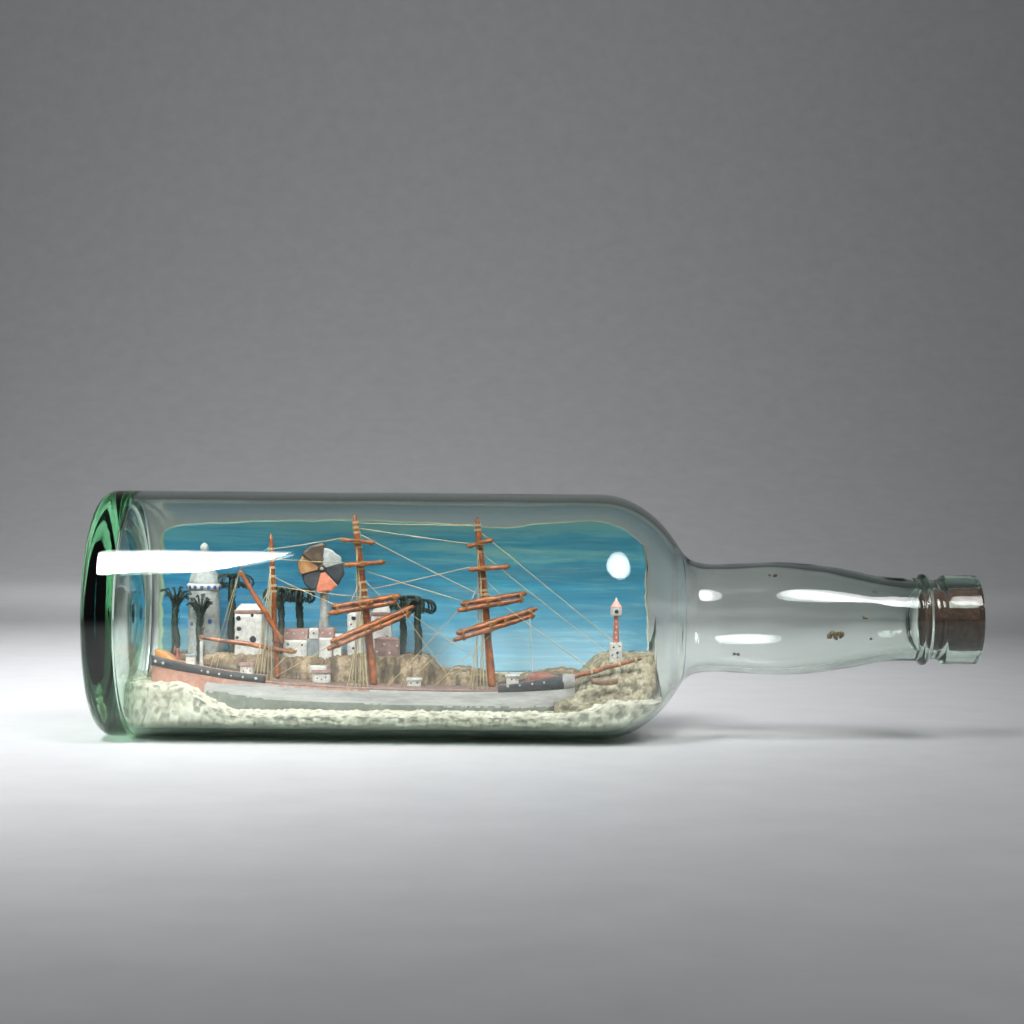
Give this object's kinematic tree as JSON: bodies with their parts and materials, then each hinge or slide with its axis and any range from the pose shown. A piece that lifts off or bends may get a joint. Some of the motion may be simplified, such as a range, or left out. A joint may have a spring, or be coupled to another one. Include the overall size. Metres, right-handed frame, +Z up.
{
  "type": "ship in a bottle",
  "caption": "Corked glass bottle lying on its side, holding a model sailing ship on a putty sea before a small coastal town with a windmill and a painted sky.",
  "frame": {"origin": "bottom centre of the bottle as it lies: under the middle of its length, on the floor", "axes": "+X along the bottle towards its mouth, +Y towards the painted side, +Z up"},
  "size_m": [0.3126, 0.0876, 0.0877],
  "materials": {
    "glass": "clear green-tinted blown glass",
    "cork": "dark, rough cork",
    "putty": "matte cream putty",
    "rock": "rough tan filler",
    "sky": "brushed blue paint film",
    "hull_white": "painted, satin",
    "hull_black": "painted, satin",
    "deck_pink": "painted, matte",
    "deck_orange": "painted, matte",
    "spar": "varnished",
    "line": "twisted cotton thread",
    "house_white": "painted, matte",
    "house_pink": "painted, matte",
    "palm": "painted, matte",
    "card": "painted card",
    "red": "painted, matte"
  },
  "bodies": {
    "bottle_and_scene": {"bottle": "glass", "putty_sea": "putty", "town_cliff": "rock", "headland": "rock", "painted_sky": "sky", "hull": "hull_white", "boom_crutch": "hull_white", "aft_house": "hull_white", "mid_house": "hull_white", "fore_house": "hull_white", "bow_cabin": "hull_white", "poop_bulwark": "hull_black", "bow_bulwark": "hull_black", "main_deck": "deck_pink", "poop_deck": "deck_orange", "forecastle_deck": "red", "steering_post": "red", "lighthouse": "red", "mizzen_mast": "spar", "main_mast": "spar", "fore_mast": "spar", "bowsprit": "spar", "gaff": "spar", "boom": "spar", "main_royal_yard": "spar", "main_topgallant_yard": "spar", "main_topsail_yard_upper": "spar", "main_topsail_yard_lower": "spar", "main_course_yard_upper": "spar", "main_course_yard_lower": "spar", "fore_royal_yard": "spar", "fore_topgallant_yard": "spar", "fore_topsail_yard_upper": "spar", "fore_topsail_yard_lower": "spar", "fore_course_yard_upper": "spar", "fore_course_yard_lower": "spar", "mizzen_shrouds": "line", "main_shrouds": "line", "fore_shrouds": "line", "bow_stays": "line", "main_to_fore_stays": "line", "mizzen_to_main_stays": "line", "white_house": "house_white", "row_houses": "house_white", "tall_house": "house_white", "gable_house": "house_white", "domed_tower": "house_white", "windmill_post": "house_white", "lighthouse_lantern": "house_white", "pink_house": "house_pink", "palm_1": "palm", "palm_2": "palm", "palm_3": "palm", "palm_4": "palm", "palm_5": "palm", "palm_6": "palm", "palm_7": "palm"},
    "cork": {"cork": "cork"},
    "windmill_wheel": {"windmill_wheel": "card"}
  },
  "joints": [
    {"name": "cork_pull", "type": "slide", "parent": "bottle_and_scene", "child": "cork", "axis": [1, 0, 0], "range_m": [0, 0.05]},
    {"name": "windmill_turn", "type": "hinge", "parent": "bottle_and_scene", "child": "windmill_wheel", "pos_m": [-0.0792, 0.016, 0.06], "axis": [0, -1, 0], "continuous": true}
  ]
}
